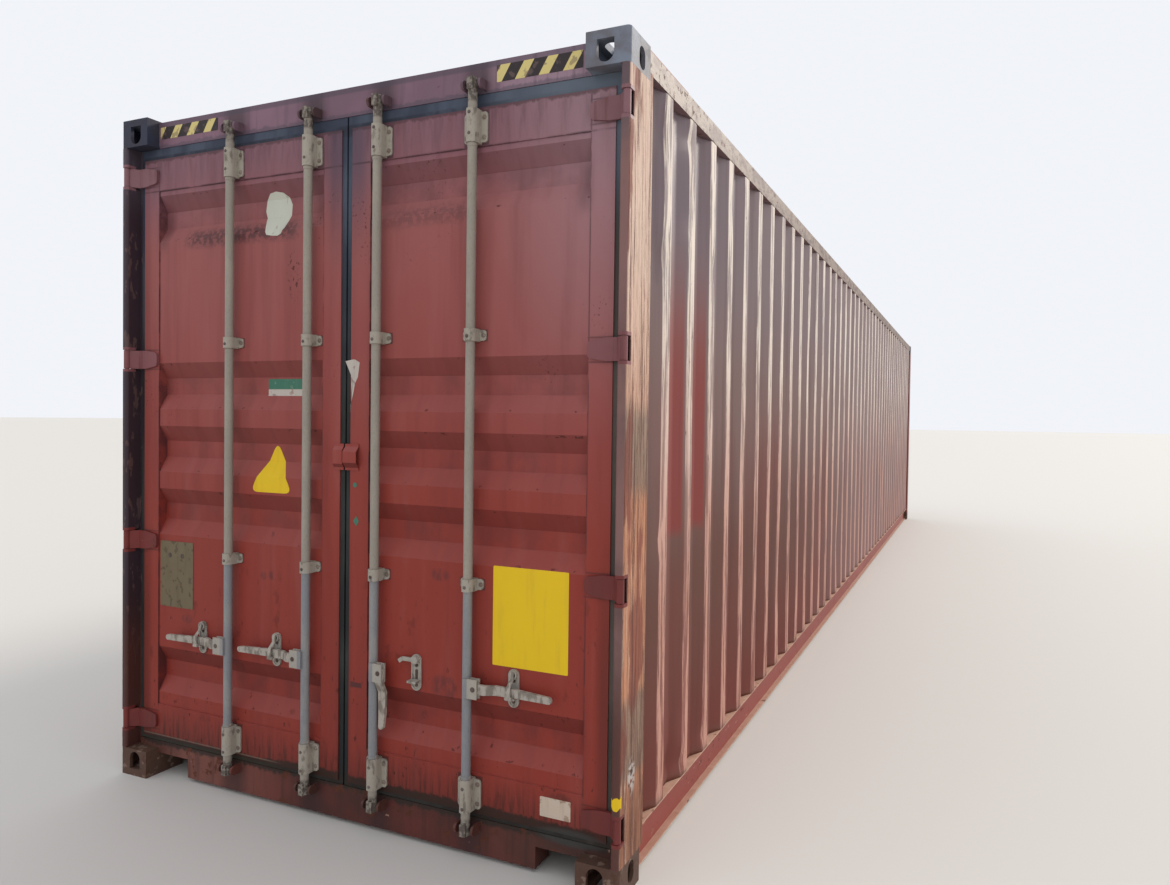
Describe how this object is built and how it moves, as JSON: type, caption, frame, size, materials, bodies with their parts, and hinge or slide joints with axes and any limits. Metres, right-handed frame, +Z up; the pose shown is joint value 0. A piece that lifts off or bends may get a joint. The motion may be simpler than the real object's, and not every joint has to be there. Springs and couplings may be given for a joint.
{
  "type": "shipping container",
  "caption": "Forty-foot high-cube steel freight container with corrugated walls, two hinged end doors with lock rods and handles, corner castings and a plywood floor.",
  "frame": {"origin": "on the ground at the middle of the footprint, level with the undersides of the bottom corner castings", "axes": "+X along the length towards the closed front end, with the doors at -X; +Y across the width to the left door's side; +Z up"},
  "size_m": [12.192, 2.438, 2.896],
  "materials": {
    "castings": "painted cast steel, worn dark and rusty",
    "frame_paint": "faded red oxide paint with scratches and primer showing",
    "wall_paint": "faded maroon paint, bleached on the ribs",
    "roof_paint": "chalky faded maroon paint",
    "door_paint": "maroon paint, hazy near the top",
    "door_gear": "weathered zinc grey steel",
    "dark_hardware": "dark worn steel",
    "door_seal": "matt black rubber with a green cast",
    "floor_boards": "varnished marine plywood, scuffed",
    "underside": "dark waxy underseal"
  },
  "bodies": {
    "container_frame": {"bottom_corner_castings": "castings", "top_corner_castings": "castings", "left_door_post": "frame_paint", "right_door_post": "frame_paint", "front_corner_posts": "frame_paint", "door_header": "frame_paint", "door_sill": "frame_paint", "front_top_rail": "frame_paint", "front_bottom_rail": "frame_paint", "top_side_rails": "frame_paint", "bottom_side_rails": "frame_paint", "left_side_wall": "wall_paint", "right_side_wall": "wall_paint", "front_wall": "wall_paint", "roof": "roof_paint", "roof_corner_plates": "roof_paint", "floor": "floor_boards", "cross_members": "underside", "gooseneck_tunnel": "underside", "cam_keepers": "dark_hardware", "left_hinge_lugs": "frame_paint", "right_hinge_lugs": "frame_paint"},
    "left_door": {"left_door_frame": "door_paint", "left_door_panel": "door_paint", "left_door_gasket": "door_seal", "left_door_hinges": "frame_paint", "left_rod_brackets": "door_gear", "left_handle_catches": "door_gear", "left_seal_cover": "door_paint"},
    "right_door": {"right_door_frame": "door_paint", "right_door_panel": "door_paint", "right_door_gasket": "door_seal", "right_door_hinges": "frame_paint", "right_rod_brackets": "door_gear", "right_handle_catches": "door_gear", "right_seal_cover": "door_paint"},
    "rod_1": {"lock_rod_1": "door_gear"},
    "handle_1": {"door_handle_1": "door_gear"},
    "rod_2": {"lock_rod_2": "door_gear"},
    "handle_2": {"door_handle_2": "door_gear"},
    "rod_3": {"lock_rod_3": "door_gear"},
    "handle_3": {"door_handle_3": "door_gear"},
    "rod_4": {"lock_rod_4": "door_gear"},
    "handle_4": {"door_handle_4": "door_gear"}
  },
  "joints": [
    {"name": "left_door_hinge", "type": "hinge", "parent": "container_frame", "child": "left_door", "pos_m": [-6.081, 1.204, 0], "axis": [0, 0, -1], "range_deg": [0, 265]},
    {"name": "right_door_hinge", "type": "hinge", "parent": "container_frame", "child": "right_door", "pos_m": [-6.081, -1.204, 0], "axis": [0, 0, 1], "range_deg": [0, 265]},
    {"name": "rod_1_turn", "type": "hinge", "parent": "left_door", "child": "rod_1", "pos_m": [-6.067, 0.596, 0], "axis": [0, 0, -1], "range_deg": [-100, 0]},
    {"name": "rod_2_turn", "type": "hinge", "parent": "left_door", "child": "rod_2", "pos_m": [-6.067, 0.171, 0], "axis": [0, 0, -1], "range_deg": [-100, 0]},
    {"name": "rod_3_turn", "type": "hinge", "parent": "right_door", "child": "rod_3", "pos_m": [-6.067, -0.171, 0], "axis": [0, 0, 1], "range_deg": [-100, 0]},
    {"name": "rod_4_turn", "type": "hinge", "parent": "right_door", "child": "rod_4", "pos_m": [-6.067, -0.596, 0], "axis": [0, 0, 1], "range_deg": [-100, 0]},
    {"name": "handle_1_lift", "type": "hinge", "parent": "rod_1", "child": "handle_1", "pos_m": [-6.081, 0.638, 0.64], "axis": [-1, 0, 0], "range_deg": [-60, 0]},
    {"name": "handle_2_lift", "type": "hinge", "parent": "rod_2", "child": "handle_2", "pos_m": [-6.081, 0.213, 0.64], "axis": [-1, 0, 0], "range_deg": [-60, 0]},
    {"name": "handle_3_lift", "type": "hinge", "parent": "rod_3", "child": "handle_3", "pos_m": [-6.081, -0.213, 0.64], "axis": [1, 0, 0], "range_deg": [-60, 0]},
    {"name": "handle_4_lift", "type": "hinge", "parent": "rod_4", "child": "handle_4", "pos_m": [-6.081, -0.638, 0.64], "axis": [1, 0, 0], "range_deg": [-60, 0]}
  ]
}
